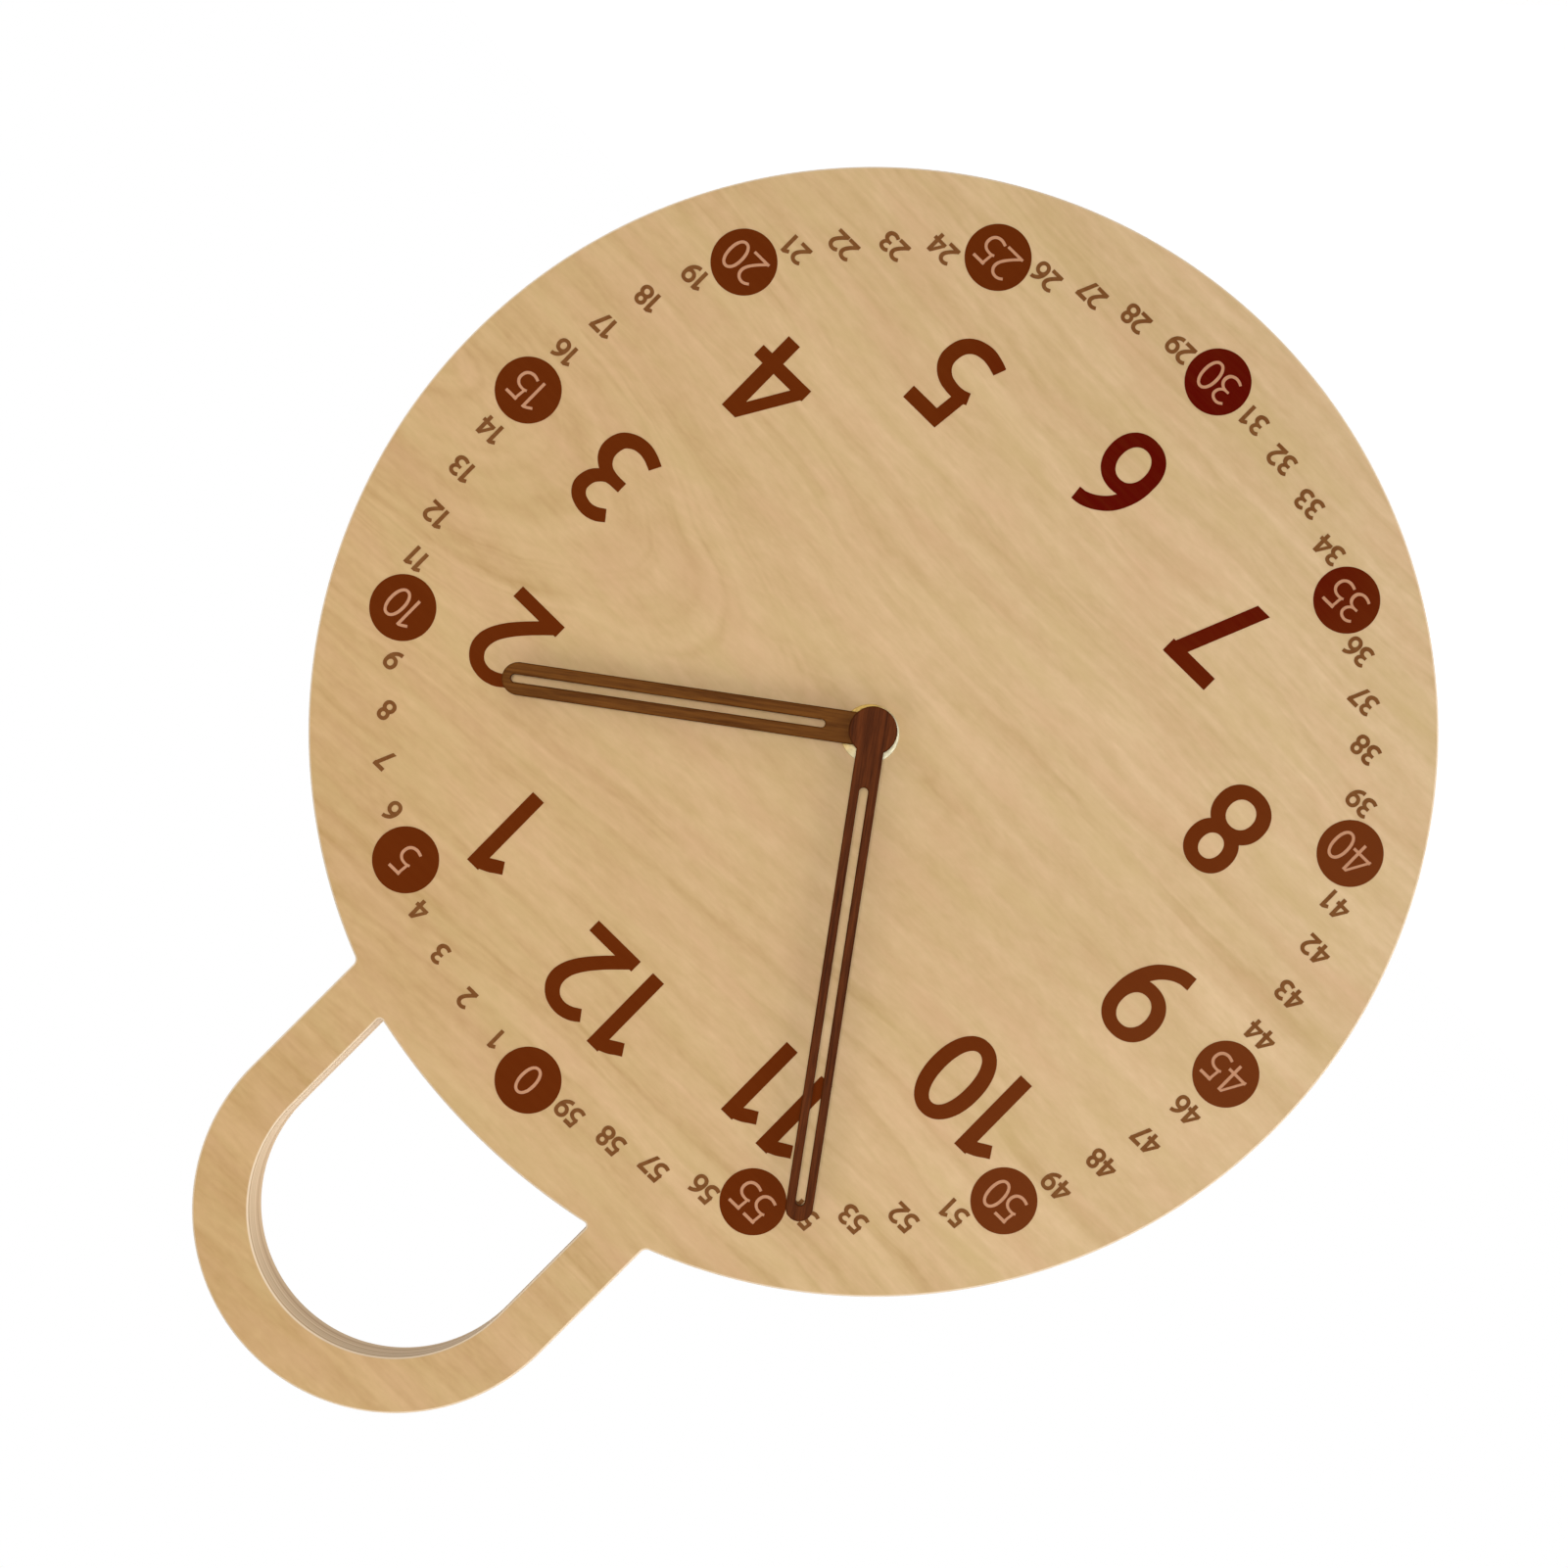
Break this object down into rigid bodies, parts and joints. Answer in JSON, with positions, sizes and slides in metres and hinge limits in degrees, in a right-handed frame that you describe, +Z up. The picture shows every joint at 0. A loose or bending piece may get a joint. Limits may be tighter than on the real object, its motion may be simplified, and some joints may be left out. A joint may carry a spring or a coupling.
{
  "type": "wall clock",
  "caption": "Round wooden wall clock with a hanging loop above the dial, slotted wooden hands and a battery movement let into its back.",
  "frame": {"origin": "where the top of the loop's opening rests on its peg, in the plane of the wall behind the clock", "axes": "+Z up towards the top of the loop (12 o'clock), -Y the way the dial faces, +X to the dial's right (3 o'clock)"},
  "size_m": [0.3, 0.0258, 0.3835],
  "materials": {
    "maple": "pale maple-faced plywood, sanded and matt-lacquered",
    "walnut": "dark walnut, matt",
    "brass": "turned brass, bright",
    "steel": "plated steel",
    "copper": "enamelled copper wire",
    "black_plastic": "moulded, lightly textured",
    "white_plastic": "moulded acetal",
    "rubber": "matt",
    "circuit": "glass-fibre board with green solder mask",
    "battery": "plain coated sleeve"
  },
  "bodies": {
    "clock_body": {"face_panel": "maple", "rubber_washer": "rubber", "front_washer": "brass", "fixing_nut": "brass", "movement_case": "black_plastic", "back_cover": "black_plastic", "threaded_post": "brass", "gear_bridge": "white_plastic", "stator": "steel", "coil_core": "steel", "coil_bobbin": "white_plastic", "coil_winding": "copper", "coil_screw_left": "steel", "coil_screw_right": "steel", "circuit_board": "circuit", "chip_cover": "black_plastic", "quartz_crystal": "steel", "positive_contact": "steel", "negative_contact": "steel"},
    "minute_hand": {"minute_hand": "walnut", "minute_hand_bush": "brass", "minute_pipe": "brass"},
    "hour_hand": {"hour_hand": "walnut", "hour_hand_bush": "brass", "hour_wheel": "white_plastic"},
    "minute_wheel": {"minute_wheel": "white_plastic"},
    "setting_knob": {"setting_knob": "white_plastic"},
    "second_wheel": {"second_wheel": "white_plastic"},
    "fifth_wheel": {"fifth_wheel": "white_plastic"},
    "rotor": {"rotor_pinion": "white_plastic", "rotor_magnet": "steel"},
    "third_wheel": {"third_wheel": "white_plastic"},
    "centre_wheel": {"centre_wheel": "white_plastic", "clutch_washer": "steel"},
    "battery": {"battery": "battery"}
  },
  "joints": [
    {"name": "minute_hand_turn", "type": "hinge", "parent": "clock_body", "child": "minute_hand", "pos_m": [0, 0, -0.2185], "axis": [0, 1, 0], "continuous": true},
    {"name": "hour_hand_turn", "type": "hinge", "parent": "clock_body", "child": "hour_hand", "pos_m": [0, 0, -0.2185], "axis": [0, 1, 0], "continuous": true},
    {"name": "minute_wheel_turn", "type": "hinge", "parent": "clock_body", "child": "minute_wheel", "pos_m": [0.0084, 0, -0.2185], "axis": [0, 1, 0], "continuous": true},
    {"name": "setting_knob_turn", "type": "hinge", "parent": "clock_body", "child": "setting_knob", "pos_m": [0.01629, 0, -0.21563], "axis": [0, 1, 0], "continuous": true},
    {"name": "second_wheel_turn", "type": "hinge", "parent": "clock_body", "child": "second_wheel", "pos_m": [0, 0, -0.2185], "axis": [0, 1, 0], "continuous": true},
    {"name": "fifth_wheel_turn", "type": "hinge", "parent": "clock_body", "child": "fifth_wheel", "pos_m": [0.00438, 0, -0.21092], "axis": [0, 1, 0], "continuous": true},
    {"name": "rotor_turn", "type": "hinge", "parent": "clock_body", "child": "rotor", "pos_m": [0.00717, 0, -0.20607], "axis": [0, 1, 0], "continuous": true},
    {"name": "third_wheel_turn", "type": "hinge", "parent": "clock_body", "child": "third_wheel", "pos_m": [-0.00799, 0, -0.21559], "axis": [0, 1, 0], "continuous": true},
    {"name": "centre_wheel_turn", "type": "hinge", "parent": "clock_body", "child": "centre_wheel", "pos_m": [0, 0, -0.2185], "axis": [0, 1, 0], "continuous": true},
    {"name": "battery_slide", "type": "slide", "parent": "clock_body", "child": "battery", "axis": [0, 1, 0], "range_m": [0, 0.02]}
  ],
  "couplings": [
    {"joint": "hour_hand_turn", "follows": "minute_hand_turn", "ratio": 0.083333},
    {"joint": "minute_wheel_turn", "follows": "minute_hand_turn", "ratio": -0.33333},
    {"joint": "setting_knob_turn", "follows": "minute_hand_turn", "ratio": 1},
    {"joint": "fifth_wheel_turn", "follows": "second_wheel_turn", "ratio": -5},
    {"joint": "rotor_turn", "follows": "second_wheel_turn", "ratio": 30},
    {"joint": "third_wheel_turn", "follows": "second_wheel_turn", "ratio": -0.125},
    {"joint": "centre_wheel_turn", "follows": "second_wheel_turn", "ratio": 0.016667}
  ]
}
